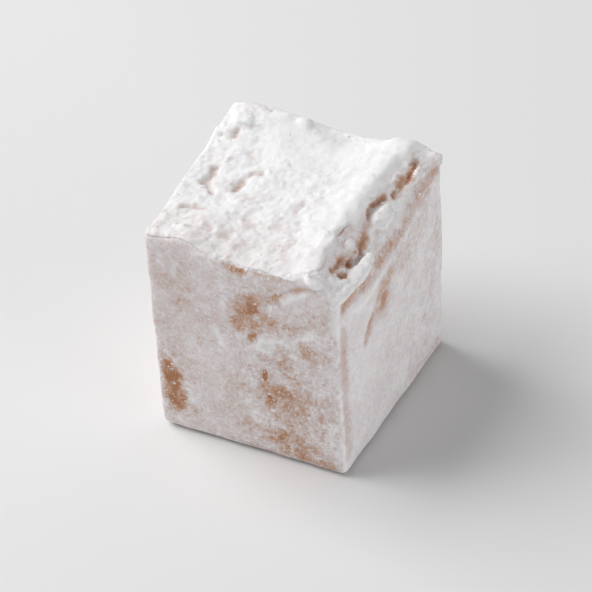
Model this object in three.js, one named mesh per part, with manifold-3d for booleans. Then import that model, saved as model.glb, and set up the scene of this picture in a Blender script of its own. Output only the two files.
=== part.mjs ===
// One cube of lokum (turkish delight): starch jelly cut from a slab with a knife and tossed in icing sugar.
// Millimetres, +Z up, +X to the right, +Y to the back.
// The origin lies under the middle of the cube's bounding box, on the surface that it rests on.
// The cube is a single solid: the sugar crust, its bank and the clumps are fused to the jelly.
import * as THREE from "three";
import { mergeVertices } from "three/addons/utils/BufferGeometryUtils.js";
import { ImprovedNoise } from "three/addons/math/ImprovedNoise.js";
import Module from "manifold-3d";

const wasm = await Module();
wasm.setup();

// Driving dimensions.
const WIDTH = 24.4;
const DEPTH = 25.8;
const HEIGHT = 26.9;
const HALF = new THREE.Vector3(WIDTH / 2, DEPTH / 2, HEIGHT / 2);

// A knife never cuts square: how far each corner lies from the true box's corner, as [x, y, z].
const CORNER_OFFSETS = {
  bottom: {
    front: { left: [1.1, 0.2, 0], right: [-0.2, -0.4, 0] },
    back: { left: [0.6, -0.5, 0], right: [0.1, -0.3, 0] },
  },
  top: {
    front: { left: [0, 0.3, 0.2], right: [-0.3, -0.3, -0.3] },
    back: { left: [-0.8, -0.1, 0.3], right: [0.4, 0.5, 0.3] },
  },
};

// The middle of each face stands proud (+) or is hollow (-).
const BOW = { front: 0.3, back: 0.25, left: -0.3, right: 0.25, top: 0.1 };

// Cut edges are slightly soft. The top right one is worn to a shoulder, widest in front of its middle.
const EDGE_RADIUS = 0.9;
const SHOULDER = { front: 3.2, widest: 5.4, widestAt: -3.0, back: 1.6 };

// The bank of icing sugar beside the shoulder: its crest runs from front to back and bends inwards.
// It gets lower within a short fade at each end, and it is lumpy with two overlaid waves.
const BANK = {
  crestX: { front: 9.0, middle: 8.0, back: 9.2 },
  height: 1.4,
  width: { inner: 3.4, outer: 1.4 },
  end: { share: 0.55, fade: 1.6 },
  lumps: [
    { share: 0.2, wave: 8.4, shift: 0.8 },
    { share: 0.12, wave: 3.3, shift: 0 },
  ],
};

// Broad swells (+) and dips (-) of the crust: where on top, how far they reach and how high they stand.
const SWELLS = [
  { x: -7.5, y: 12.6, reach: 4.2, height: 1.0 },
  { x: 1.5, y: 12.6, reach: 2.8, height: -0.8 },
  { x: -7.2, y: -12.6, reach: 3.6, height: 0.85 },
  { x: 0.2, y: -12.6, reach: 3.0, height: -0.3 },
  { x: -8.2, y: -1.5, reach: 3.4, height: -0.35 },
];

// The cube rests on a level foot with straight sides: its half sizes, before the corners are moved.
// Around it the underside turns up slightly, all of it within a short reach.
const FOOT = { x: 9.6, y: 10.2, turnUp: 0.2, reach: 1.5 };

// Relief of the clinging sugar: a deep crust on top, a thin film on the sides.
const CRUST_RELIEF = { depth: 0.3, wave: 3.6 };
const FILM_RELIEF = { depth: 0.12, wave: 5.5 };

// Clumps of sugar, in half sizes [across, along, high]. Those with an x lie on the top, the others on
// the shoulder, where lean is the slope that they lie on: 0 at its inner end, 90 at its outer one.
const CLUMPS = [
  { y: 0.9, lean: 40, size: [0.95, 1.5, 1.0], turn: -14 },
  { y: -5.4, lean: 34, size: [1.2, 1.3, 0.85], turn: 10 },
  { y: -8.6, lean: 52, size: [0.7, 2.8, 0.7], turn: -7 },
  { y: 8.4, lean: 26, size: [0.8, 1.3, 0.7], turn: 12 },
  { y: 11.6, lean: 46, size: [1.1, 0.9, 0.8], turn: 30 },
  { x: 8.8, y: -12.1, size: [0.85, 0.7, 0.7], turn: 20 },
  { x: -9.4, y: 9.6, size: [1.3, 1.6, 0.6], turn: 35 },
  { x: -3.2, y: 11.4, size: [1.0, 0.8, 0.5], turn: -20 },
];

// Grid cells along each edge of the box, drawn together towards the edges by this power.
const CELLS = 25;
const EDGE_CROWDING = 1.3;
// What lies lower than this above the bottom of the grid belongs to the underside.
const UNDERSIDE = 0.01;
const CLUMP_DETAIL = 2;
const CLUMP_ROUGHNESS = 0.25;
const CLUMP_SEED_STEP = 11.7;
const CRUST_SEED = 7.3;
const FILM_SEED = 3.1;

const noise = new ImprovedNoise();

// Smooth noise of about -1 to 1 with a second, finer octave. wave is the length of its broad swells.
function rough(point, wave, seed) {
  const octave = (scale) => noise.noise(point.x * scale + seed, point.y * scale, point.z * scale);
  return 1.3 * octave(1 / wave) + 0.6 * octave(2.3 / wave);
}

function smooth(from, to, value) {
  return THREE.MathUtils.smoothstep(value, from, to);
}

function bell(distance, reach) {
  return Math.exp(-((distance / reach) ** 2));
}

// The corners' offsets blended over the box. share is the place in it, from 0 to 1 along each axis.
function cutOffset(share) {
  const total = new THREE.Vector3();
  for (const [level, sides] of Object.entries(CORNER_OFFSETS)) {
    for (const [side, ends] of Object.entries(sides)) {
      for (const [end, offset] of Object.entries(ends)) {
        const weight =
          (level === "top" ? share.z : 1 - share.z) *
          (side === "back" ? share.y : 1 - share.y) *
          (end === "right" ? share.x : 1 - share.x);
        total.addScaledVector(new THREE.Vector3(...offset), weight);
      }
    }
  }
  return total;
}

function shoulderRadius(y) {
  const end = y < SHOULDER.widestAt ? SHOULDER.front : SHOULDER.back;
  const endY = y < SHOULDER.widestAt ? -HALF.y : HALF.y;
  const share = (y - SHOULDER.widestAt) / (endY - SHOULDER.widestAt);
  return THREE.MathUtils.lerp(SHOULDER.widest, end, smooth(0, 1, share));
}

// Rounds the top right edge: the square that the shoulder takes up in the section becomes a quarter disc.
function wearShoulder(point, out) {
  const radius = shoulderRadius(point.y);
  const across = point.x - (HALF.x - radius);
  const above = point.z - (HALF.z - radius);
  if (across <= 0 || above <= 0) {
    return;
  }
  const reach = Math.hypot(across, above);
  const share = Math.max(across, above) / reach;
  point.x -= across * (1 - share);
  point.z -= above * (1 - share);
  const level = 1 - Math.abs(out.y);
  out.set((level * across) / reach, out.y, (level * above) / reach).normalize();
}

// How far the faces stand proud at a point with outward normal n. unit runs from -1 to 1 along each axis.
function bow(unit, n) {
  const open = (a, b) => (1 - a * a) * (1 - b * b);
  const side = (low, high, way) => (way > 0 ? high : low) * way * way;
  return (
    side(BOW.left, BOW.right, n.x) * open(unit.y, unit.z) +
    side(BOW.front, BOW.back, n.y) * open(unit.x, unit.z) +
    side(0, BOW.top, n.z) * open(unit.x, unit.y)
  );
}

// Height of the bank of sugar over the top at a place x, y.
function bankHeight(x, y) {
  const { crestX, width, end } = BANK;
  const straight = THREE.MathUtils.mapLinear(y, -HALF.y, HALF.y, crestX.front, crestX.back);
  const bend = (crestX.front + crestX.back) / 2 - crestX.middle;
  const crest = straight - bend * (1 - (y / HALF.y) ** 2);
  const away = smooth(-HALF.y, -HALF.y + end.fade, y) * (1 - smooth(HALF.y - end.fade, HALF.y, y));
  const lumps = BANK.lumps.reduce((sum, lump) => {
    return sum + lump.share * Math.sin((2 * Math.PI * (y + lump.shift)) / lump.wave);
  }, 1);
  const section = bell(x - crest, x < crest ? width.inner : width.outer);
  return BANK.height * section * lumps * THREE.MathUtils.lerp(end.share, 1, away);
}

// Height of the crust's swells over the top at a place x, y.
function swellHeight(x, y) {
  return SWELLS.reduce((sum, swell) => {
    return sum + swell.height * bell(Math.hypot(x - swell.x, y - swell.y), swell.reach);
  }, 0);
}

// Softens the box's edges. The top right one is left for the shoulder, apart from where it meets the ends.
function softenEdges(box) {
  const inset = HALF.clone().subScalar(EDGE_RADIUS);
  const core = box.clone().clamp(inset.clone().negate(), inset);
  const way = box.clone().sub(core);
  const onShoulder = way.x > 0 && way.z > 0;
  const level = onShoulder ? Math.max(way.x, way.z) : Math.hypot(way.x, way.z);
  const reach = Math.hypot(level, way.y);
  const out = way.clone().normalize();
  const point = core.addScaledVector(way, EDGE_RADIUS / reach);
  return { point, out };
}

// Moves a point of the true box, centred on the origin, to the finished surface. out is the way out there.
function toSurface(box) {
  const { point, out } = softenEdges(box);
  wearShoulder(point, out);
  const unit = box.clone().divide(HALF);
  const up = Math.max(out.z, 0) ** 2;
  const aside = 1 - out.z * out.z;
  const relief =
    up * CRUST_RELIEF.depth * rough(point, CRUST_RELIEF.wave, CRUST_SEED) +
    aside * FILM_RELIEF.depth * rough(point, FILM_RELIEF.wave, FILM_SEED);
  point.addScaledVector(out, relief + bow(unit, out));
  point.z += up * (bankHeight(point.x, point.y) + swellHeight(point.x, point.y));
  point.add(cutOffset(unit.addScalar(1).multiplyScalar(0.5)));
  return { point, out };
}

// Finishes a point of the underside. The foot's sides stay straight and square to each other.
function levelUnderside(box, point) {
  const beyond = Math.max(Math.abs(box.x) - FOOT.x, Math.abs(box.y) - FOOT.y);
  if (beyond > 0) {
    point.z += FOOT.turnUp * Math.min(beyond / FOOT.reach, 1);
    return;
  }
  const share = box.clone().divide(HALF).addScalar(1).multiplyScalar(0.5);
  point.x = box.x + cutOffset(new THREE.Vector3(share.x, 0.5, 0)).x;
  point.y = box.y + cutOffset(new THREE.Vector3(0.5, share.y, 0)).y;
}

// Deletes all but the positions and merges shared vertices, so that the mesh is closed.
function welded(geometry) {
  geometry.deleteAttribute("normal");
  geometry.deleteAttribute("uv");
  return mergeVertices(geometry, 1e-4);
}

function eachVertex(geometry, move) {
  const positions = geometry.getAttribute("position");
  const vertex = new THREE.Vector3();
  for (let i = 0; i < positions.count; i++) {
    vertex.fromBufferAttribute(positions, i);
    positions.setXYZ(i, ...move(vertex.clone()));
  }
  return geometry;
}

function solidOf(geometry) {
  return new wasm.Manifold(
    new wasm.Mesh({
      numProp: 3,
      vertProperties: geometry.getAttribute("position").array,
      triVerts: new Uint32Array(geometry.index.array),
    }),
  );
}

function geometryOf(solid) {
  const mesh = solid.getMesh();
  return new THREE.BufferGeometry()
    .setAttribute("position", new THREE.BufferAttribute(mesh.vertProperties, 3))
    .setIndex(new THREE.BufferAttribute(mesh.triVerts, 1));
}

// The crusted jelly: a box grid, crowded towards its edges and moved to the finished surface.
function makeBlock() {
  const crowd = (value, half) => {
    const share = Math.min(Math.abs(value) / half, 1);
    return Math.sign(value) * half * (1 - (1 - share) ** EDGE_CROWDING);
  };
  const grid = new THREE.BoxGeometry(WIDTH, DEPTH, HEIGHT, CELLS, CELLS, CELLS);
  return eachVertex(welded(grid), (v) => {
    const box = new THREE.Vector3(crowd(v.x, HALF.x), crowd(v.y, HALF.y), crowd(v.z, HALF.z));
    const { point } = toSurface(box);
    if (box.z < UNDERSIDE - HALF.z) {
      levelUnderside(box, point);
    }
    return point;
  });
}

// The place of a clump on the true box, before that is moved to the finished surface.
function clumpPlace({ x, y, lean }) {
  if (x !== undefined) {
    return new THREE.Vector3(x, y, HALF.z);
  }
  const radius = shoulderRadius(y);
  const slope = THREE.MathUtils.degToRad(lean);
  const way = new THREE.Vector3(Math.sin(slope), 0, Math.cos(slope));
  const reach = radius / Math.max(way.x, way.z);
  return new THREE.Vector3(HALF.x - radius, y, HALF.z - radius).addScaledVector(way, reach);
}

// A knobbly lump, half sunk in the crust.
function makeClump(clump, seed) {
  const { point, out } = toSurface(clumpPlace(clump));
  const tilt = new THREE.Quaternion().setFromUnitVectors(new THREE.Vector3(0, 0, 1), out);
  const spin = new THREE.Quaternion().setFromAxisAngle(out, THREE.MathUtils.degToRad(clump.turn));
  const place = new THREE.Matrix4().compose(point, spin.multiply(tilt), new THREE.Vector3(...clump.size));
  const ball = welded(new THREE.IcosahedronGeometry(1, CLUMP_DETAIL));
  return eachVertex(ball, (v) => {
    const swelling = 1 + CLUMP_ROUGHNESS * rough(v, 0.9, seed);
    return v.multiplyScalar(swelling).applyMatrix4(place);
  });
}

// The whole cube as one solid, standing on z = 0 with its bounding box centred on the origin.
function makeCube() {
  let solid = solidOf(makeBlock());
  CLUMPS.forEach((clump, i) => {
    solid = solid.add(solidOf(makeClump(clump, CLUMP_SEED_STEP * (i + 1))));
  });
  const geometry = geometryOf(solid);
  geometry.computeBoundingBox();
  const { min, max } = geometry.boundingBox;
  geometry.translate(-(min.x + max.x) / 2, -(min.y + max.y) / 2, -min.z);
  geometry.computeVertexNormals();
  return geometry;
}

const sugaredJelly = new THREE.MeshStandardMaterial({ color: 0xe8e2de, roughness: 0.95, metalness: 0 });
const cube = new THREE.Mesh(makeCube(), sugaredJelly);
cube.name = "lokum_cube";

const part = new THREE.Group();
part.add(cube);

export default part;
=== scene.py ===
"""Looks of one cube of lokum: starch jelly cut from a slab with a knife and tossed in icing sugar."""

import math
import random

import bpy
import numpy as np
from mathutils import Matrix, Vector, noise
from mathutils.bvhtree import BVHTree


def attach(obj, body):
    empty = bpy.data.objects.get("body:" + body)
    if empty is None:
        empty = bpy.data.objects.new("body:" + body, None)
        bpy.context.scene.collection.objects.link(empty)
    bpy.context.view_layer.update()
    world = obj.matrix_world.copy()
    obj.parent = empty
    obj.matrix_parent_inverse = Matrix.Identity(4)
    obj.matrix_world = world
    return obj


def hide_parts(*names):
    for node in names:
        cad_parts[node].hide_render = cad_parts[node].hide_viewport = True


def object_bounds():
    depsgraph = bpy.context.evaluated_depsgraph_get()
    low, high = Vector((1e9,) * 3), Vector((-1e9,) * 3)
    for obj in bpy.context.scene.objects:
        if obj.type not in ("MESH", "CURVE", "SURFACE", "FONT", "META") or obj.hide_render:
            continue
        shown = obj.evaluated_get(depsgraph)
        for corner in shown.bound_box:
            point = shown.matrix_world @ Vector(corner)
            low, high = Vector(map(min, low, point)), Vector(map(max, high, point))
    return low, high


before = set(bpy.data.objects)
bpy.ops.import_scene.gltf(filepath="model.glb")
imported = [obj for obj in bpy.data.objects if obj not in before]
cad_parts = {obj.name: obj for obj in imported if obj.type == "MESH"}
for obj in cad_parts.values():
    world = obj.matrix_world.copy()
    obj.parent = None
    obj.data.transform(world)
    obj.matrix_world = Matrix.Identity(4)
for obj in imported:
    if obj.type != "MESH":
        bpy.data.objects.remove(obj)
cad_low, cad_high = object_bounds()

scene = bpy.context.scene
MM = 0.001

# ---------------------------------------------------------------------------
# Camera and light
# ---------------------------------------------------------------------------

VIEW_AZIMUTH = math.radians(27.1)
VIEW_ELEVATION = math.radians(39.7)
VIEW_ROLL = math.radians(3.02)
VIEW_TARGET = Vector((0, 0, 12.5)) * MM
VIEW_DISTANCE = 1060 * MM
LENS = 579
SENSOR = 36


def look_from(azimuth, elevation):
    """The way from the cube to something that stands at this azimuth and elevation."""
    level = math.cos(elevation)
    return Vector((math.sin(azimuth) * level, -math.cos(azimuth) * level, math.sin(elevation)))


def add_camera():
    camera = bpy.data.objects.new("camera", bpy.data.cameras.new("camera"))
    scene.collection.objects.link(camera)
    back = look_from(VIEW_AZIMUTH, VIEW_ELEVATION)
    right = Vector((math.cos(VIEW_AZIMUTH), math.sin(VIEW_AZIMUTH), 0))
    turned = Matrix((right, back.cross(right), back)).transposed() @ Matrix.Rotation(-VIEW_ROLL, 3, "Z")
    camera.matrix_world = Matrix.Translation(VIEW_TARGET + back * VIEW_DISTANCE) @ turned.to_4x4()
    camera.data.lens = LENS
    camera.data.sensor_width = SENSOR
    camera.data.clip_start = 0.01
    camera.data.clip_end = 20
    scene.camera = camera


def add_softbox(name, azimuth, elevation, distance, size, power):
    """A square light. Its angles are in degrees, its distance and size in metres and its power in watts."""
    light = bpy.data.objects.new(name, bpy.data.lights.new(name, "AREA"))
    scene.collection.objects.link(light)
    way = look_from(math.radians(azimuth), math.radians(elevation))
    light.location = VIEW_TARGET + way * distance
    light.rotation_euler = way.to_track_quat("Z", "Y").to_euler()
    light.data.shape = "SQUARE"
    light.data.size = size
    light.data.energy = power


def add_sky(strength):
    """Even white light from all round."""
    world = bpy.data.worlds.new("studio")
    scene.world = world
    world.use_nodes = True
    world.node_tree.nodes["Background"].inputs["Color"].default_value = (1, 1, 1, 1)
    world.node_tree.nodes["Background"].inputs["Strength"].default_value = strength


add_camera()
add_softbox("key", -84, 47, 0.6, 0.52, 3.7)
add_softbox("fill", 78, 7, 0.7, 0.4, 1.85)
add_sky(0.27)
scene.view_settings.view_transform = "Standard"

# ---------------------------------------------------------------------------
# Materials
# ---------------------------------------------------------------------------


def linear(code):
    """An sRGB hex colour as linear RGBA."""
    parts = [(code >> shift & 255) / 255 for shift in (16, 8, 0)]
    return [c / 12.92 if c <= 0.04045 else ((c + 0.055) / 1.055) ** 2.4 for c in parts] + [1.0]


def per_mm(length):
    """Noise scale on Object coordinates, which are metres, for swells of this length in millimetres."""
    return 1 / (length * MM)


class Finish:
    """A material and its node tree. node() adds a node with its settings and links."""

    def __init__(self, name):
        self.material = bpy.data.materials.new(name)
        self.material.use_nodes = True
        self.tree = self.material.node_tree
        self.tree.nodes.clear()

    def node(self, kind, settings=None, **sockets):
        """A socket is given by its name, or by _ and its number. A node stands for its first output."""
        made = self.tree.nodes.new("ShaderNode" + kind)
        for key, value in (settings or {}).items():
            setattr(made, key, value)
        for key, value in sockets.items():
            socket = made.inputs[int(key[1:])] if key[0] == "_" else made.inputs[key.replace("_", " ")]
            if isinstance(value, bpy.types.Node):
                value = value.outputs[0]
            if isinstance(value, bpy.types.NodeSocket):
                self.tree.links.new(value, socket)
            else:
                socket.default_value = value
        return made


# What a Math node works out.
TIMES, LESS, SIZE = {"operation": "MULTIPLY"}, {"operation": "SUBTRACT"}, {"operation": "ABSOLUTE"}
# Its first socket times the second, added to the third.
ADD_SHARE = {"operation": "MULTIPLY_ADD"}
# Its sum, kept between 0 and 1.
ADD_KEPT = {"operation": "ADD", "use_clamp": True}
# A Map Range node that rises softly from 0 to 1.
SOFT_STEP = {"interpolation_type": "SMOOTHSTEP"}


def make_floor_finish():
    # Matt white laminate: plain and pale, with no gloss.
    finish = Finish("matt_white_laminate")
    shader = finish.node("BsdfPrincipled", Base_Color=linear(0xE9E9E9), Roughness=0.9)
    finish.node("OutputMaterial", Surface=shader)
    return finish.material


def make_crust_finish():
    # Icing sugar, sifted on thick and pressed: matt white and powdery, a little rosy where it lies thin, and
    # greyer in its hollows, which is partly painted shade.
    # Its grains are far finer than can be seen, so what is drawn is the clots they cling together in.
    finish = Finish("icing_sugar_crust")
    place = finish.node("TexCoord").outputs["Object"]
    cover = finish.node("Attribute", {"attribute_name": "film"}).outputs["Fac"]
    cloud = finish.node("TexNoise", Vector=place, Scale=per_mm(1.1), Detail=5.0, Roughness=0.65)
    clot = finish.node("TexNoise", Vector=place, Scale=per_mm(0.36), Detail=5.0, Roughness=0.7)
    clouded = finish.node("Math", ADD_SHARE, _0=cloud, _1=0.5, _2=cover)
    clotted = finish.node("Math", ADD_SHARE, _0=clot, _1=0.25, _2=clouded)
    level = finish.node("Math", TIMES, _0=clotted, _1=0.6)
    ramp = finish.node("ValToRGB", Fac=level)
    steps = ramp.color_ramp.elements
    steps[0].position, steps[0].color = 0.35, linear(0xC2A595)
    steps[1].position, steps[1].color = 0.84, linear(0xFAFAFB)
    steps.new(0.5).color = linear(0xDACDC9)
    steps.new(0.7).color = linear(0xF0EDED)
    bump = finish.node("Bump", Strength=0.7, Distance=0.12 * MM, Height=clot)
    shader = finish.node(
        "BsdfPrincipled",
        Base_Color=ramp,
        Roughness=0.95,
        Normal=bump,
        Specular_IOR_Level=0.2,
        Subsurface_Weight=0.12,
        Subsurface_Radius=(1.0, 0.9, 0.8),
        Subsurface_Scale=0.15 * MM,
    )
    finish.node("OutputMaterial", Surface=shader)
    return finish.material


def make_jelly_finish():
    # Amber starch jelly, knife-cut and floured: tan where the film of sugar is rubbed off,
    # clouded taupe under the thin film and white where the sugar has caught. Part of its tan is painted
    # shade, in dips, under the crust's lip, below the flakes and at the foot, and part of the white on its
    # edges a painted highlight.
    finish = Finish("starch_jelly_under_sugar_film")
    place = finish.node("TexCoord").outputs["Object"]
    names = ("film", "worn_and_shade", "crack_and_shade", "mottle")
    fields = [finish.node("Attribute", {"attribute_name": name}) for name in names]
    film, worn_and_shade, crack_and_shade, mottle = (field.outputs["Fac"] for field in fields)
    # Sugar smeared slantwise over the faces is drawn out to 3.5 times its width.
    slant = {"vector_type": "TEXTURE"}
    drawn_out = finish.node("Mapping", slant, Vector=place, Rotation=(-0.5, 0.72, 0.0), Scale=(1.0, 1.0, 3.5))
    # Unevenness of the film, each as noise about 0: where it is measured, how long its swells are in
    # millimetres, its detail, roughness and distortion.
    uneven = {}
    for name, vector, length, detail, roughness, distortion in (
        ("patch", place, 1.3, 4.0, 0.6, 0.0),
        ("speck", place, 0.5, 3.0, 0.6, 0.3),
        ("cloud", place, 2.4, 6.0, 0.62, 0.8),
        ("smear", drawn_out, 0.9, 5.0, 0.6, 0.5),
        ("wisp", place, 2.1, 3.0, 0.5, 1.6),
        ("grain", place, 0.22, 4.0, 0.7, 0.0),
    ):
        made = finish.node(
            "TexNoise",
            Vector=vector,
            Scale=per_mm(length),
            Detail=detail,
            Roughness=roughness,
            Distortion=distortion,
        )
        uneven[name] = finish.node("Math", LESS, _0=made, _1=0.5)

    level = finish.node("Math", ADD_SHARE, _0=uneven["grain"], _1=0.55, _2=film)
    # Thin white threads where sugar caught in scratches, white clots, and tan specks where it flaked off.
    thread = finish.node(
        "MapRange", SOFT_STEP, Value=finish.node("Math", SIZE, _0=uneven["wisp"]), From_Min=0.03, From_Max=0.0
    )
    hole = finish.node("MapRange", SOFT_STEP, Value=uneven["speck"], From_Min=0.1, From_Max=0.26)
    clot = finish.node("MapRange", SOFT_STEP, Value=uneven["speck"], From_Min=-0.08, From_Max=-0.22)
    clouding = uneven["cloud"]
    drawn = ((uneven["smear"], 0.9), (uneven["speck"], -1.0), (thread, 0.26), (hole, -0.24), (clot, 0.3))
    for part, share in drawn:
        clouding = finish.node("Math", ADD_SHARE, _0=part, _1=share, _2=clouding)
    level = finish.node("Math", ADD_SHARE, _0=clouding, _1=mottle, _2=level)
    # Worn places keep powder in patches and specks. Cracks are cleaner.
    worn_and_shade_shares, crack_and_shade_shares = (("patch", 1.8), ("speck", -2.0), ("grain", -1.0)), (("speck", -1.2),)
    for wear, shares in ((worn_and_shade, worn_and_shade_shares), (crack_and_shade, crack_and_shade_shares)):
        depth = finish.node("Math", TIMES, _0=uneven[shares[0][0]], _1=shares[0][1])
        for name, share in shares[1:]:
            depth = finish.node("Math", ADD_SHARE, _0=uneven[name], _1=share, _2=depth)
        depth = finish.node("Math", ADD_KEPT, _0=depth, _1=0.9)
        thinned = finish.node("Math", TIMES, _0=depth, _1=wear)
        level = finish.node("Math", LESS, _0=level, _1=thinned)
    ramp = finish.node("ValToRGB", Fac=level)
    steps = ramp.color_ramp.elements
    steps[0].position, steps[0].color = 0.0, linear(0xB27A57)
    steps[1].position, steps[1].color = 1.0, linear(0xF7F5F6)
    steps.new(0.25).color = linear(0xCCA58C)
    steps.new(0.48).color = linear(0xDACBC7)
    steps.new(0.75).color = linear(0xEBE5E6)
    bump = finish.node("Bump", Strength=0.6, Distance=0.12 * MM, Height=level)
    dull = finish.node("MapRange", Value=level, To_Min=0.5, To_Max=0.95)
    shader = finish.node(
        "BsdfPrincipled",
        Base_Color=ramp,
        Roughness=dull,
        Normal=bump,
        Specular_IOR_Level=0.3,
        Subsurface_Weight=0.15,
        Subsurface_Radius=(1.0, 0.6, 0.35),
        Subsurface_Scale=0.25 * MM,
    )
    finish.node("OutputMaterial", Surface=shader)
    return finish.material


# ---------------------------------------------------------------------------
# Measures on a mesh, in millimetres
# ---------------------------------------------------------------------------


# How far everything stays within the box round the cube's own form.
BOX_MARGIN = 0.01


def each_vertex(mesh, value):
    flat = np.empty(len(mesh.vertices) * 3, np.float32)
    mesh.vertices.foreach_get(value, flat)
    return flat.reshape(-1, 3).astype(float)


def points_of(mesh):
    """The place of each vertex."""
    return each_vertex(mesh, "co") / MM


def ways_of(mesh):
    """The outward normal at each vertex."""
    return each_vertex(mesh, "normal")


def keep_inside(points):
    return np.clip(points, np.array(cad_low) / MM + BOX_MARGIN, np.array(cad_high) / MM - BOX_MARGIN)


def set_points(mesh, points):
    points = keep_inside(points)
    mesh.vertices.foreach_set("co", (points * MM).astype(np.float32).ravel())
    mesh.update()


def set_field(mesh, name, values):
    """A value at each vertex, for the materials."""
    field = mesh.attributes.new(name, "FLOAT", "POINT")
    field.data.foreach_set("value", np.asarray(values, np.float32))


def rough(points, wave, octaves, seed):
    """Smooth noise of about -1 to 1. wave is the length of its broad swells."""
    shift = Vector((seed, -1.7 * seed, 2.3 * seed))
    return np.array([noise.fractal(Vector(p) / wave + shift, 0.8, 2.1, octaves) for p in points])


def smooth(low, high, value):
    """A soft step from 0 at low to 1 at high. It falls where low is the larger one."""
    share = np.clip((value - low) / (high - low), 0, 1)
    return share * share * (3 - 2 * share)


def bell(distance, reach):
    """1 at no distance, fading away round the reach."""
    return np.exp(-((distance / reach) ** 2))


def from_line(points, line):
    """Distance of each point from a line through a few places."""
    nearest = np.full(len(points), 1e9)
    for start, end in zip(line[:-1], line[1:]):
        start, end = np.array(start, float), np.array(end, float)
        along = end - start
        share = np.clip((points - start) @ along / (along @ along), 0, 1)
        gap = np.linalg.norm(points - start - share[:, None] * along, axis=1)
        nearest = np.minimum(nearest, gap)
    return nearest


# ---------------------------------------------------------------------------
# Where the sugar lies
# ---------------------------------------------------------------------------

# Faces of the cube: which axis looks out of each and which way, and the two axes that lie in it.
FACES = {
    "front": (1, -1, (0, 2)),
    "back": (1, 1, (0, 2)),
    "left": (0, -1, (1, 2)),
    "right": (0, 1, (1, 2)),
    "top": (2, 1, (0, 1)),
}

# How much of the jelly the film hides on each face, on the underside and on the worn shoulder.
FILM = {"front": 0.62, "back": 0.6, "left": 0.62, "right": 0.79, "top": 0.9}
FILM_BELOW = 0.6
FILM_ON_SHOULDER = 0.8

# Places where the film is rubbed off, and a patch of painted shade: two places on the face, two half sizes,
# how much thinner and turn.
WORN_AND_SHADE = {
    "front": [
        (0.8, 20.3, 2.0, 2.2, 0.44, 0),
        (-0.6, 18.7, 1.0, 1.4, 0.34, -20),
        (1.8, 22.4, 1.9, 1.0, 0.38, 20),
        (3.3, 19.8, 1.2, 1.2, 0.42, 0),
        (1.1, 17.1, 0.6, 0.8, 0.76, 0),
        (-0.7, 26.0, 1.1, 0.7, 0.43, 0),
        (5.8, 19.4, 1.3, 0.9, 0.26, 0),
        (8.4, 16.7, 1.6, 1.2, 0.3, 0),
        (4.3, 14.4, 1.1, 2.0, 0.2, 0),
        (6.1, 12.2, 0.8, 0.9, 0.3, 0),
        (2.4, 11.9, 0.4, 0.9, 0.85, 5),
        (2.9, 8.8, 0.4, 0.8, 0.8, 8),
        (2.8, 10.6, 0.8, 2.4, 0.26, 0),
        (5.1, 8.7, 2.7, 2.9, 0.38, 0),
        (5.0, 5.8, 2.0, 1.8, 0.2, 0),
        (4.2, 3.4, 2.0, 1.9, 0.46, 0),
        (5.8, 2.2, 2.8, 2.0, 0.37, 0),
        (9.3, 1.1, 1.5, 0.9, 0.3, 0),
        (8.9, 6.5, 0.8, 1.6, 0.26, 0),
        (-10.0, 9.4, 0.7, 0.8, 0.46, 0),
        (-9.4, 7.1, 1.1, 1.9, 0.82, 0),
        (-9.1, 4.9, 1.2, 1.6, 0.7, 0),
    ],
    "right": [
        (4.5, 20.4, 6.0, 1.6, 0.17, 0),
        (5.0, 6.0, 2.5, 4.0, 0.1, 0),
        (9.8, 14.6, 2.2, 4.6, 0.12, 0),
        # Painted contact shade at the foot of the right face, towards the back.
        (9.0, 1.2, 2.4, 1.4, 0.2, 0),
    ],
    "back": [
        (-6.5, 7.0, 2.6, 3.2, 0.36, 15),
        (-3.2, 3.4, 2.4, 2.0, 0.36, 0),
        (4.4, 20.2, 2.2, 1.6, 0.36, -20),
        (6.8, 17.0, 1.2, 2.4, 0.28, 0),
        (8.6, 4.2, 1.2, 2.6, 0.45, 0),
        (0.6, 12.6, 1.2, 1.6, 0.25, 0),
        (-9.2, 19.6, 0.9, 1.8, 0.35, 0),
    ],
    "left": [
        (-7.6, 5.4, 2.0, 3.0, 0.4, 0),
        (-4.6, 9.8, 1.6, 1.6, 0.3, 0),
        (2.4, 17.8, 2.4, 1.8, 0.36, 25),
        (6.0, 14.2, 1.6, 2.6, 0.28, 0),
        (9.4, 3.0, 1.8, 2.0, 0.4, 0),
        (-10.2, 18.4, 0.8, 2.4, 0.3, 0),
    ],
    "top": [
        (8.5, -3.3, 0.6, 1.6, 0.7, 0),
        (9.4, 7.2, 0.7, 1.3, 0.16, 0),
    ],
}
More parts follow.
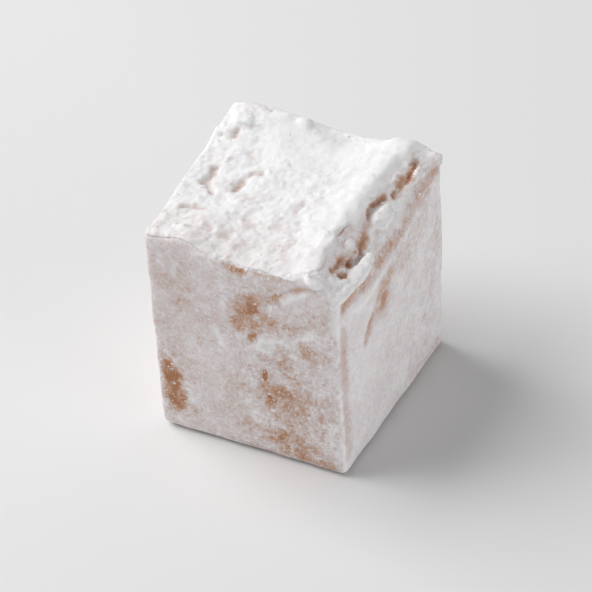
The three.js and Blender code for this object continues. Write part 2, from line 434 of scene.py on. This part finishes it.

# Cracks and rubbed lines where jelly shows, and lines of painted shade: the line, half its width and how much
# thinner the film is.
CRACK_AND_SHADE_LINES = [
    # Along the foot of the bank, past the clumps that lie in it.
    ([(9.5, -9.8, 26.7), (9.8, -8.2, 26.4), (9.9, -6.9, 26.0), (10.6, -5.6, 26.2)], 0.5, 0.7),
    ([(9.6, -7.5, 26.3), (10.2, -6.6, 26.0)], 0.75, 0.88),
    ([(10.6, -4.6, 25.9), (10.3, -3.2, 25.6), (9.9, -2.0, 25.8)], 0.65, 0.72),
    ([(9.9, -2.0, 25.8), (9.6, -0.6, 26.4)], 0.45, 0.5),
    ([(9.7, -0.5, 26.2), (9.3, 0.5, 26.9), (9.3, 1.8, 27.1)], 0.42, 0.72),
    ([(9.3, 1.8, 27.1), (9.7, 3.8, 26.9)], 0.45, 0.74),
    ([(10.4, 4.8, 26.6), (10.5, 6.5, 26.9), (10.8, 7.7, 27.0)], 0.5, 0.7),
    ([(10.8, 7.7, 27.0), (10.9, 9.0, 27.6), (10.6, 10.2, 27.5)], 0.45, 0.84),
    # Under the corner.
    ([(10.4, -9.4, 25.9), (10.8, -8.7, 25.8)], 0.45, 0.8),
    # Between the flake and the right face: partly jelly showing, partly painted shade below the flake.
    ([(11.9, -11.4, 23.4), (12.1, -9.6, 23.6), (12.0, -6.7, 23.0)], 0.8, 0.6),
    ([(12.0, -6.7, 23.0), (12.0, -3.2, 22.8)], 0.9, 0.36),
    ([(12.0, -3.2, 22.8), (12.0, -1.5, 23.2), (12.1, 0.5, 23.3)], 0.9, 0.52),
    ([(12.1, 0.5, 23.3), (12.2, 3.2, 23.6), (12.1, 4.8, 24.3), (12.3, 7.3, 24.9)], 0.85, 0.49),
    ([(12.3, 7.3, 24.7), (12.3, 8.9, 25.2), (12.3, 11.6, 25.7)], 1.0, 0.44),
    ([(12.4, 7.4, 24.0), (12.4, 9.6, 24.3)], 0.6, 0.46),
    # Down the right face and the corner.
    ([(12.3, -0.6, 20.5), (12.3, -2.0, 19.6)], 0.9, 0.35),
    ([(12.3, -2.2, 19.2), (12.2, -3.4, 17.3)], 1.35, 0.62),
    ([(12.1, -5.0, 17.3), (12.1, -6.0, 16.5), (12.1, -7.1, 15.4)], 0.6, 0.57),
    ([(12.4, 5.5, 17.5), (12.5, 4.1, 16.9), (12.5, 2.6, 16.1)], 0.6, 0.14),
    ([(11.9, -12.1, 20.4), (11.8, -12.2, 16.2), (11.9, -12.1, 10.0), (11.9, -12.0, 3.0)], 0.7, 0.38),
    # On the front, below the lip of the crust: partly jelly showing, partly painted shade under the lip.
    ([(3.8, -13.1, 23.4), (5.7, -13.1, 24.8), (7.5, -13.1, 25.7), (8.7, -13.0, 26.1)], 0.3, 0.26),
    ([(-2.2, -12.8, 26.4), (-0.4, -12.8, 26.5), (2.2, -12.9, 26.2), (4.6, -13.0, 26.1)], 0.35, 0.2),
    # Along the foot of the front face: painted contact shade where the cube stands on the floor.
    ([(-3.4, -13.1, 1.1), (0.2, -13.0, 0.9), (2.6, -13.1, 0.7)], 0.3, 0.2),
]

# Sugar that has caught along edges and scratches, along the front-right edge partly a painted highlight: the
# line, half its width and how much whiter it is.
WHITE_AND_HIGHLIGHT_LINES = [
    ([(12.0, -9.7, 21.2), (12.1, -7.2, 20.7), (12.2, -4.2, 21.1), (12.2, -0.8, 22.0)], 0.4, 0.38),
    ([(12.2, -0.8, 22.0), (12.3, 1.5, 22.2), (12.3, 3.6, 22.5), (12.3, 5.2, 23.2)], 0.35, 0.2),
    ([(12.3, 5.2, 23.1), (12.4, 7.2, 23.4), (12.5, 9.0, 23.5)], 0.35, 0.06),
    # Down the front-right edge: sugar caught there, partly a painted highlight.
    ([(11.2, -13.0, 24.6), (11.3, -13.0, 21.4), (11.4, -13.0, 18.6)], 0.5, 0.3),
    ([(11.4, -13.0, 18.6), (11.3, -13.1, 10.0), (11.2, -13.1, 0.8)], 0.4, 0.16),
    ([(3.5, -13.1, 21.8), (5.0, -13.1, 23.0), (6.3, -13.1, 24.2), (8.1, -13.1, 25.1)], 0.4, 0.42),
    ([(8.1, -13.1, 25.1), (10.4, -13.0, 25.2)], 0.4, 0.25),
    ([(-3.6, -13.0, 16.8), (-3.2, -13.0, 15.6), (-2.6, -13.1, 14.2)], 0.5, 0.34),
    ([(-2.8, -13.1, 18.6), (-2.2, -13.1, 21.0), (-2.6, -13.1, 24.6)], 0.4, 0.22),
    ([(1.6, -13.3, 15.8), (2.0, -13.3, 16.8)], 0.35, 0.34),
    ([(3.2, -13.3, 17.0), (4.4, -13.3, 17.4), (5.6, -13.3, 17.2)], 0.3, 0.3),
    ([(6.9, -13.2, 18.4), (8.1, -13.2, 19.3), (9.1, -13.2, 20.2), (10.2, -13.2, 19.8)], 0.4, 0.28),
    ([(1.9, -13.3, 13.1), (2.3, -13.3, 13.7)], 0.35, 0.36),
    ([(0.4, -13.2, 4.4), (1.0, -13.2, 6.2)], 0.45, 0.2),
    ([(7.6, -13.2, 3.6), (8.2, -13.2, 4.8)], 0.4, 0.22),
]

# Right edge of the white crust on top, where it breaks off at the worn shoulder: x at some places y.
CRUST_LIMIT = [
    (-13.5, 9.0),
    (-10.3, 8.9),
    (-8.0, 9.4),
    (-6.4, 9.2),
    (-3.0, 9.2),
    (0.0, 9.2),
    (3.9, 9.4),
    (5.6, 10.2),
    (8.6, 10.7),
    (10.4, 10.4),
    (13.5, 11.4),
]

# Sugar caked on along edges: its middle line, half its width and how far it swells out.
CAKES = [
    ([(9.5, -5.5, 27.0), (9.7, -4.4, 26.9)], 1.35, 0.12),
    ([(11.1, -12.0, 25.2), (10.9, -12.7, 25.2)], 0.6, 0.15),
    ([(11.0, -12.9, 25.0), (11.2, -13.0, 23.6)], 0.5, 0.08),
    ([(11.4, 9.4, 27.0), (11.8, 11.8, 26.8)], 0.6, 0.0),
]

# Bits of crust that broke off the bank and lie on the shoulder: where each begins and ends, how wide and how
# thick it is, and which way its upper side looks.
FLAKES = [
    ((10.6, 0.9, 26.25), (10.8, 2.2, 26.15), 2.0, 1.5, (0.9, -0.3, 0.9)),
    ((11.6, -9.0, 25.0), (11.8, -6.2, 25.2), 1.8, 1.6, (-0.15, -0.1, 1.0)),
    ((11.7, -7.0, 25.2), (11.75, -4.6, 25.3), 1.25, 1.3, (-0.2, -0.1, 1.0)),
    ((11.3, -12.0, 24.8), (11.6, -9.0, 24.9), 1.4, 1.4, (-0.1, -0.2, 1.0)),
    ((8.5, -12.6, 26.9), (8.9, -12.6, 26.8), 1.5, 1.3, (0.1, -0.7, 1.0)),
    ((9.6, -11.5, 26.1), (10.5, -10.7, 25.8), 1.1, 1.1, (0.3, -0.3, 1.0)),
]

# Hollows in the top crust where it lies thin, drawn darker partly as painted shade: the line, half its width
# and its depth.
HOLLOWS = [
    ([(-10.2, 7.4), (-10.1, 6.8)], 0.55, 0.3),
    ([(-11.6, 6.7), (-10.5, 6.4)], 0.3, 0.16),
    ([(-10.0, 1.3), (-9.8, 0.2), (-10.0, -1.2)], 0.46, 0.4),
    ([(-9.9, -0.8), (-9.0, -1.9), (-8.3, -2.7)], 0.4, 0.3),
    ([(-4.6, 2.1), (-5.7, 1.5), (-6.2, 0.1)], 0.4, 0.3),
    ([(-6.1, 0.2), (-6.3, -1.0)], 0.62, 0.5),
    ([(-10.1, -6.2), (-9.0, -5.7), (-7.9, -5.6)], 0.42, 0.35),
    ([(-7.9, -9.5), (-5.4, -9.0)], 0.35, 0.16),
    ([(2.2, -1.1), (1.8, -2.1)], 0.5, 0.16),
    ([(0.6, -4.2), (1.2, -5.6)], 0.5, 0.1),
    ([(3.2, -4.2), (3.7, -4.8)], 0.4, 0.12),
    ([(-3.9, -9.2), (-3.2, -9.5)], 0.5, 0.14),
    ([(-10.8, 5.4), (-10.0, 4.6)], 0.45, 0.14),
    ([(-9.6, 3.6), (-8.8, 2.8)], 0.45, 0.12),
    ([(-8.2, 11.8), (-7.8, 11.7)], 0.3, 0.16),
    ([(-2.4, -6.0), (-1.2, -6.6)], 0.45, 0.12),
    ([(-7.2, 4.8), (-6.4, 4.2)], 0.4, 0.14),
    ([(9.1, -5.9), (8.6, -4.8), (8.5, -3.4), (8.8, -2.6)], 0.5, 0.4),
    ([(9.7, -5.6), (9.9, -4.5)], 0.8, 0.2),
    ([(9.3, 5.8), (9.7, 8.2)], 0.6, 0.13),
]

# Heaps of small lumps: middle, spread, how many, and how wide the least and the most of them are.
LUMPS = [
    (10.6, -7.9, (0.4, 0.7), 7, 0.3, 0.7),
    (9.9, -10.6, (0.5, 0.7), 8, 0.3, 0.7),
    (10.6, 3.6, (0.4, 0.9), 7, 0.3, 0.6),
    (11.3, 10.2, (0.5, 1.2), 9, 0.3, 0.8),
    (10.9, -1.6, (0.5, 0.8), 5, 0.25, 0.5),
    (-10.9, 8.4, (0.9, 1.4), 7, 0.4, 0.9),
    (6.8, 12.4, (2.4, 0.4), 8, 0.3, 0.8),
]

# How many small lumps lie along the lip of the crust at the front.
LIP_LUMPS = 16
# How many crumbs fall on top, land on each side and cling round each worn place.
CRUMBS_ON_TOP, CRUMBS_ON_SIDE, CRUMBS_ROUND_WEAR = 40, 170, 2
# How far from the middle of a side they land, along x and along y.
STREWN = (12.2, 12.6)
LUMP_SEED = 41

# Half the cube's width and depth, near enough, without the swells of its sides.
HALF_WIDTH, HALF_DEPTH = 12.4, 12.9
# Soft steps, from none to all: where the bank rises and where it falls away again, as x,
BANK_RISE, BANK_FALL = (3.0, 5.5), (10.5, 9.5)
# where the worn shoulder begins, as x and as height,
SHOULDER_START, SHOULDER_FOOT = (8.8, 9.6), (22.4, 23.6)
# and where the crust begins, as height.
CRUST_START = (22, 24)
# How fine the forms of the jelly and of the crust are, and the height at which the crust's form is cut off.
JELLY_GRAIN, CRUST_GRAIN = 0.23, 0.18
CRUST_FOOT = 21.5

# How deep the jelly lies under the outer form: at the rim of the crust, well inside it and under the film.
RIM_DEPTH = 0.16
CRUST_DEPTH = 0.7
FILM_DEPTH = 0.06
# How deep the crust's own skin runs where there is no crust, so that the jelly hides it.
HIDDEN = 0.8


def face_weights(ways):
    """How squarely each vertex looks out of each face of the cube."""
    return {name: np.clip(ways[:, axis] * way, 0, 1) ** 2 for name, (axis, way, _) in FACES.items()}


def on_shoulder(points, ways):
    """1 on the worn shoulder between the bank and the right face."""
    level = smooth(*SHOULDER_START, points[:, 0]) * smooth(*SHOULDER_FOOT, points[:, 2])
    return level * smooth(-0.75, -0.5, ways[:, 1]) * smooth(0.75, 0.5, ways[:, 1])


def worn_and_shade_field(points, ways):
    """How much thinner the film is in the rubbed places, and in a patch of painted shade."""
    weights = face_weights(ways)
    field = np.zeros(len(points))
    for name, (_, _, (across, along)) in FACES.items():
        for u, v, half_u, half_v, thinner, turn in WORN_AND_SHADE[name]:
            du, dv = points[:, across] - u, points[:, along] - v
            c, s = math.cos(math.radians(turn)), math.sin(math.radians(turn))
            gap = np.hypot((c * du + s * dv) / half_u, (c * dv - s * du) / half_v)
            field = np.maximum(field, thinner * smooth(1.7, 0.4, gap) * smooth(0.35, 0.7, weights[name]))
    return field


def crack_and_shade_field(points, ways, lift):
    """How much thinner the film is along cracks, and in the dips of the shoulder, where it is partly painted
    shade.
    """
    wander = 0.2 * rough(points, 0.9, 3, 12.7) + 0.2 * rough(points, 3.4, 2, 27.9)
    broken = 0.65 + 0.35 * smooth(-0.7, 0.1, rough(points, 1.5, 3, 33.1))
    # Tan in the dips of the shoulder: partly jelly showing, partly painted shade in the hollows.
    field = 0.25 * on_shoulder(points, ways) * smooth(-0.02, -0.16, lift)
    for line, width, thinner in CRACK_AND_SHADE_LINES:
        gap = (from_line(points, line) + wander) / width
        field = np.maximum(field, thinner * broken * smooth(1.8, 0.3, gap))
    return field


def mottle_field(points, ways):
    """How blotchy the film is: more round the worn places, less on the right face."""
    weights = face_weights(ways)
    field = 0.5 + 0.3 * weights["front"] * smooth(-4, 2, points[:, 0]) * smooth(26, 22, points[:, 2])
    field += 0.3 * on_shoulder(points, ways)
    for name, (_, _, (across, along)) in FACES.items():
        for u, v, half_u, half_v, _, _ in WORN_AND_SHADE[name]:
            gap = np.hypot((points[:, across] - u) / (half_u + 1.2), (points[:, along] - v) / (half_v + 1.2))
            field = np.maximum(field, (0.5 + 0.5 * bell(gap, 1.1)) * smooth(0.35, 0.7, weights[name]))
    return field * (1 - 0.2 * weights["right"])


def film_field(points, ways):
    """0 for bare jelly, 1 for white sugar."""
    weights = face_weights(ways)
    below = np.clip(-ways[:, 2], 0, 1) ** 2
    field = sum(weights[name] * FILM[name] for name in FACES) + below * FILM_BELOW
    field = field / (sum(weights.values()) + below)
    field += (FILM_ON_SHOULDER - field) * on_shoulder(points, ways)
    field -= 0.05 * weights["front"] * smooth(-4, -9, points[:, 0])
    field += 0.1 * rough(points, 4.5, 2, 4.1)
    wander = 0.22 * rough(points, 1.3, 3, 15.1)
    broken = smooth(-0.5, 0.2, rough(points, 1.6, 3, 21.3))
    for line, width, more in WHITE_AND_HIGHLIGHT_LINES:
        gap = np.maximum(from_line(points, line) + wander, 0)
        field += more * bell(gap, width) * broken
    # Whiter along the upright edges: sugar caught there, partly a painted highlight.
    corner = np.minimum(np.abs(ways[:, 0]), np.abs(ways[:, 1]))
    return field + 0.16 * smooth(0.3, 0.62, corner) * smooth(-0.3, 0.4, rough(points, 2.4, 3, 8.4))


def from_sides(points):
    """How far each point lies within the four sides of the cube."""
    return np.minimum(HALF_WIDTH - np.abs(points[:, 0]), HALF_DEPTH - np.abs(points[:, 1]))


def crust_field(points, ways, spread=0.0):
    """1 where the thick crust lies, 0 where there is only a film. spread is how much wider it is taken."""
    edge, fine = rough(points, 2.6, 3, 1.9), rough(points, 1.0, 2, 6.6)
    limit = np.interp(points[:, 1], *zip(*CRUST_LIMIT))
    on_top = smooth(0.34, 0.6, ways[:, 2] + 0.16 * edge + 0.15 * spread)
    # It covers the steep sides of the clumps on it as well.
    on_top = np.maximum(on_top, smooth(0.3, 0.9, from_sides(points)) * smooth(8.4, 7.8, points[:, 0]))
    inside = smooth(0.2, -0.2, points[:, 0] - limit + 0.25 * fine - spread)
    field = on_top * inside * smooth(*CRUST_START, points[:, 2])
    for line, width, _ in CAKES:
        gap = from_line(points, line) + 0.2 * fine
        field = np.maximum(field, smooth(width + 0.15, width - 0.2, gap - spread))
    return field


def flake_frames():
    """The middle of each flake, its ways as rows, and half its length, width and height."""
    frames = []
    for start, end, width, height, up in FLAKES:
        start, end = Vector(start), Vector(end)
        along = (end - start).normalized()
        side = Vector(up).cross(along).normalized()
        half = np.array(((end - start).length + width, width, height)) / 2
        frames.append((np.array((start + end) / 2), np.array(Matrix((along, side, along.cross(side)))), half))
    return frames


def from_flake(points):
    """Distance from the nearest flake's middle: 1 on its outside, less within it."""
    gaps = []
    for middle, turn, half in flake_frames():
        gaps.append(np.linalg.norm((points - middle) @ turn.T / half, axis=1))
    return np.min(gaps, axis=0)


def swell_field(points):
    """How far the caked sugar swells out: each cake is a low dome."""
    field = np.zeros(len(points))
    for line, width, height in CAKES:
        field = np.maximum(field, height * np.sqrt(smooth(1.2 * width, 0.2 * width, from_line(points, line))))
    return field


# ---------------------------------------------------------------------------
# Pieces
# ---------------------------------------------------------------------------


def only(piece):
    """Selects this piece alone and makes it the active one."""
    bpy.ops.object.select_all(action="DESELECT")
    piece.select_set(True)
    bpy.context.view_layer.objects.active = piece


def finish_with(piece, kind, **settings):
    """Adds a modifier and applies it."""
    only(piece)
    modifier = piece.modifiers.new(kind.lower(), kind)
    for key, value in settings.items():
        setattr(modifier, key, value)
    bpy.ops.object.modifier_apply(modifier=modifier.name)


def copy_of_node(node, name):
    piece = bpy.data.objects.new(name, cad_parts[node].data.copy())
    piece.data.name = name
    piece.data.materials.clear()
    scene.collection.objects.link(piece)
    only(piece)
    bpy.ops.object.mode_set(mode="EDIT")
    bpy.ops.mesh.select_all(action="SELECT")
    bpy.ops.mesh.remove_doubles(threshold=0.001 * MM)
    bpy.ops.object.mode_set(mode="OBJECT")
    return piece


def make_form(name, grain, foot=None, more=None):
    """The cube's outer form as an even, smooth mesh, grown together with more.

    With a foot it is only what lies above that height.
    """
    piece = copy_of_node("lokum_cube", name)
    if foot is not None:
        bpy.ops.object.mode_set(mode="EDIT")
        bpy.ops.mesh.select_all(action="SELECT")
        bpy.ops.mesh.bisect(plane_co=(0, 0, foot * MM), plane_no=(0, 0, 1), use_fill=True, clear_inner=True)
        bpy.ops.object.mode_set(mode="OBJECT")
    if more:
        only(piece)
        more.select_set(True)
        bpy.ops.object.join()
    finish_with(piece, "REMESH", mode="VOXEL", voxel_size=grain * MM)
    finish_with(piece, "SMOOTH", factor=0.5, iterations=round(1.6 / grain))
    return piece


def lift_of(piece):
    """How far each vertex stands over (+) or under (-) the form around it, in millimetres."""
    soft = piece.copy()
    soft.data = piece.data.copy()
    scene.collection.objects.link(soft)
    finish_with(soft, "SMOOTH", factor=0.5, iterations=60)
    gap = points_of(piece.data) - points_of(soft.data)
    bpy.data.objects.remove(soft)
    return np.einsum("ij,ij->i", gap, ways_of(piece.data))


def dress(piece, material):
    piece.data.materials.append(material)
    for face in piece.data.polygons:
        face.use_smooth = True
    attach(piece, "root")
    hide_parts("lokum_cube")
    return piece


def make_jelly():
    piece = make_form("jelly", JELLY_GRAIN)
    points, ways = points_of(piece.data), ways_of(piece.data)
    crack_and_shade = crack_and_shade_field(points, ways, lift_of(piece))
    worn_and_shade = worn_and_shade_field(points, ways)
    relief = 0.03 * (rough(points, 1.6, 3, 2.2) + rough(points, 0.7, 2, 19.4)) + 0.5 * swell_field(points)
    # The jelly comes up to the film along the cube's upper edges, so that no gap opens under the crust's lip.
    inwards = from_sides(points)
    rim = crust_field(points, ways, -0.4) * smooth(0.2, 0.8, inwards)
    inset = FILM_DEPTH + (RIM_DEPTH - FILM_DEPTH) * rim
    deep = crust_field(points, ways, -0.9) * smooth(0.1, 0.0, crack_and_shade) * smooth(0.6, 1.4, inwards)
    inset += (CRUST_DEPTH - RIM_DEPTH) * deep
    inset += 0.36 * crack_and_shade + 0.22 * smooth(0.5, 0.8, crack_and_shade) + 0.1 * worn_and_shade
    set_points(piece.data, points - (inset - relief)[:, None] * ways)
    drift = 0.12 * smooth(1.7, 1.15, from_flake(points))
    set_field(piece.data, "film", film_field(points, ways) + drift)
    set_field(piece.data, "worn_and_shade", worn_and_shade)
    set_field(piece.data, "crack_and_shade", crack_and_shade)
    set_field(piece.data, "mottle", mottle_field(points, ways))
    return dress(piece, make_jelly_finish())


def ball_shape(splits):
    """A round ball 1 mm across, as corners and faces."""
    bpy.ops.object.select_all(action="DESELECT")
    bpy.ops.mesh.primitive_ico_sphere_add(subdivisions=splits, radius=0.5 * MM, location=(0, 0, 0))
    ball = bpy.context.object
    shape = points_of(ball.data), np.array([list(face.vertices) for face in ball.data.polygons])
    bpy.data.objects.remove(ball)
    return shape


def lump_shapes(count, splits, seed):
    """A few knobbly lumps about 1 mm across."""
    points, faces = ball_shape(splits)
    knobs = [1 + 0.45 * rough(points, 0.45, 3, seed + 3.7 * i) for i in range(count)]
    return [(points * knob[:, None], faces) for knob in knobs]


def lying(way, width, flat, draws):
    """The turn and stretch of a lump that lies on a face which looks this way."""
    spin = Matrix.Rotation(draws.uniform(0, 2 * math.pi), 3, "Z")
    stretch = Matrix.Diagonal((width, width * draws.uniform(0.65, 1.0), width * flat))
    return np.array(way.to_track_quat("Z", "Y").to_matrix() @ spin @ stretch)


def join_shapes(name, shapes):
    """One object of many shapes, each given as corners and faces."""
    corners, faces, count = [], [], 0
    for points, sides in shapes:
        corners.append(points)
        faces.append(sides + count)
        count += len(points)
    mesh = bpy.data.meshes.new(name)
    mesh.from_pydata((np.concatenate(corners) * MM).tolist(), [], np.concatenate(faces).tolist())
    joined = bpy.data.objects.new(name, mesh)
    scene.collection.objects.link(joined)
    return joined


def join_lumps(name, lumps, material):
    """One piece of many lumps of white sugar."""
    piece = join_shapes(name, [(keep_inside(points), sides) for points, sides in lumps])
    set_field(piece.data, "film", np.full(len(piece.data.vertices), 1.0))
    return dress(piece, material)


def scatter(shapes, places, draws):
    """A lump for each place: a point, the way out there, and how wide and how flat the lump is."""
    lumps = []
    for point, way, width, flat in places:
        points, sides = shapes[draws.randrange(len(shapes))]
        lumps.append((points @ lying(way, width, flat, draws).T + np.array(point), sides))
    return lumps


def make_flakes():
    """Bits of crust: balls pressed boxy, drawn out and worn uneven."""
    ball, sides = ball_shape(5)
    boxy = ball / np.linalg.norm(ball, ord=2.5, axis=1)[:, None]
    shapes = []
    for i, (middle, turn, half) in enumerate(flake_frames()):
        points = boxy * half * (1 + 0.22 * rough(boxy * half, 1.2, 4, 5.7 * i))[:, None]
        shapes.append((points @ turn + middle, sides))
    return join_shapes("flakes", shapes)


def make_crust(material):
    piece = make_form("sugar_crust", CRUST_GRAIN, foot=CRUST_FOOT, more=make_flakes())
    points, ways = points_of(piece.data), ways_of(piece.data)
    lift = lift_of(piece)
    crack_and_shade = crack_and_shade_field(points, ways, lift)
    flake = smooth(1.6, 1.25, from_flake(points))
    crusted = np.maximum(crust_field(points, ways) * smooth(0.22, 0.1, crack_and_shade), flake)
    # The crust thins out towards its edge.
    edge = 1 - np.maximum(crust_field(points, ways, -0.4), smooth(1.5, 1.0, from_flake(points)))
    hollow = np.zeros(len(points))
    wander = 0.22 * rough(points, 0.8, 2, 14.3)
    for line, width, depth in HOLLOWS:
        gap = from_line(points[:, :2], line) + wander
        hollow = np.maximum(hollow, depth * smooth(1.7 * width, 0.2 * width, gap))
    bank = smooth(*BANK_RISE, points[:, 0]) * smooth(*BANK_FALL, points[:, 0])
    calm = np.maximum(0.8 * bank, 0.85 * smooth(1.0, 8.0, points[:, 1]) * smooth(-9, -5, points[:, 0]))
    fine = rough(points, 0.65, 3, 9.1)
    relief = (1 - calm) * (0.13 * rough(points, 1.7, 3, 5.5) + 0.06 * fine)
    relief += (1 - 0.7 * calm) * 0.16 * smooth(0.4, 0.9, rough(points, 0.75, 2, 31.3))
    relief += 0.3 * bank * rough(points, 2.6, 2, 17.2) + 0.03 * fine
    relief += swell_field(points) - 0.05 - hollow * (1 - flake)
    # Sugar has settled in the creases round the clumps, and none of the jelly looks through along the sides.
    relief += np.clip(-0.03 - lift, 0, 0.25) * smooth(8.5, 7.0, points[:, 0])
    relief = np.maximum(relief, -0.03 - 0.5 * np.clip(from_sides(points), 0, None))
    relief -= edge * (0.04 + 0.12 * smooth(8.2, 9.2, points[:, 0]))
    # Away from the crust its skin sinks into the jelly.
    out = crusted * relief - (1 - crusted) * HIDDEN
    set_points(piece.data, points + out[:, None] * ways)
    thin = (1 - calm) * smooth(-0.3, 0.6, rough(points, 1.2, 4, 25.7)) * (1 - flake)
    # The hollows are drawn greyer: partly thin sugar, partly painted shade in the dents.
    film = 1.0 - (1.15 * hollow + 0.16 * smooth(-4, -9, points[:, 1])) * (1 - flake) - 0.2 * thin
    set_field(piece.data, "film", film - 0.08 * flake - 0.25 * edge + 0.05 * rough(points, 2.4, 2, 3.3))
    return dress(piece, material)


def surface_of(piece):
    """The piece's skin in millimetres, for things to land on."""
    mesh = piece.data
    corners, faces = [v.co / MM for v in mesh.vertices], [tuple(f.vertices) for f in mesh.polygons]
    return BVHTree.FromPolygons(corners, faces)


def settle(surfaces, start, way):
    """Where something that comes from start along way meets the first of the surfaces."""
    hits = [tree.ray_cast(start, way) for tree in surfaces]
    hits = [hit for hit in hits if hit[0] is not None]
    return min(hits, key=lambda hit: hit[3])[:2] if hits else None


def drop_on_top(surfaces, x, y):
    return settle(surfaces, Vector((x, y, 40)), Vector((0, 0, -1)))


def throw_at_side(surfaces, name, u, v):
    axis, way, (across, along) = FACES[name]
    start, aim = Vector((0, 0, 0)), Vector((0, 0, 0))
    start[axis], start[across], start[along] = 40 * way, u, v
    aim[axis] = -way
    return settle(surfaces, start, aim)


def place_lumps(surfaces, draws):
    places = []

    def add(hit, width):
        """Each lump is half as high as it is wide, and sunk in a little."""
        if hit:
            point, way = hit
            places.append((point - way * width * 0.16, way, width, 0.5))

    for x, y, spread, count, least, most in LUMPS:
        for _ in range(count):
            hit = drop_on_top(surfaces, draws.gauss(x, spread[0]), draws.gauss(y, spread[1]))
            add(hit, draws.uniform(least, most))
    for _ in range(LIP_LUMPS):
        hit = drop_on_top(surfaces, draws.uniform(-11.5, 9), draws.gauss(-12.6, 0.25))
        add(hit, draws.uniform(0.25, 0.6))
    return places


def place_crumbs(surfaces, draws):
    places = []
    for _ in range(CRUMBS_ON_TOP):
        x, y = draws.uniform(-HALF_WIDTH, HALF_WIDTH), draws.uniform(-HALF_DEPTH, HALF_DEPTH)
        hit = drop_on_top(surfaces, x, y)
        if hit:
            places.append((hit[0], hit[1], draws.uniform(0.12, 0.3), 0.5))
    for name, (_, _, (across, _)) in FACES.items():
        if name == "top":
            continue
        reach = STREWN[across]
        for _ in range(CRUMBS_ON_SIDE):
            hit = throw_at_side(surfaces, name, draws.uniform(-reach, reach), draws.uniform(0.6, 26))
            if hit:
                places.append((hit[0], hit[1], draws.uniform(0.1, 0.24), 0.4))
        # A few larger ones cling round the worn places.
        for u, v, half_u, half_v, _, _ in WORN_AND_SHADE[name]:
            for _ in range(CRUMBS_ROUND_WEAR):
                hit = throw_at_side(surfaces, name, draws.gauss(u, half_u), draws.gauss(v, half_v))
                if hit:
                    places.append((hit[0], hit[1], draws.uniform(0.15, 0.36), 0.3))
    return places


jelly = make_jelly()
crust_finish = make_crust_finish()
crust = make_crust(crust_finish)
surfaces = [surface_of(jelly), surface_of(crust)]
draws = random.Random(LUMP_SEED)
lumps = scatter(lump_shapes(5, 3, 2.0), place_lumps(surfaces, draws), draws)
join_lumps("sugar_lumps", lumps, crust_finish)
crumbs = scatter(lump_shapes(4, 1, 8.0), place_crumbs(surfaces, draws), draws)
join_lumps("sugar_crumbs", crumbs, crust_finish)

# ---------------------------------------------------------------------------
# Floor
# ---------------------------------------------------------------------------

bpy.ops.mesh.primitive_plane_add(size=3, location=(0, 0, 0))
floor = bpy.context.object
floor.name = "floor"
floor.data.materials.append(make_floor_finish())
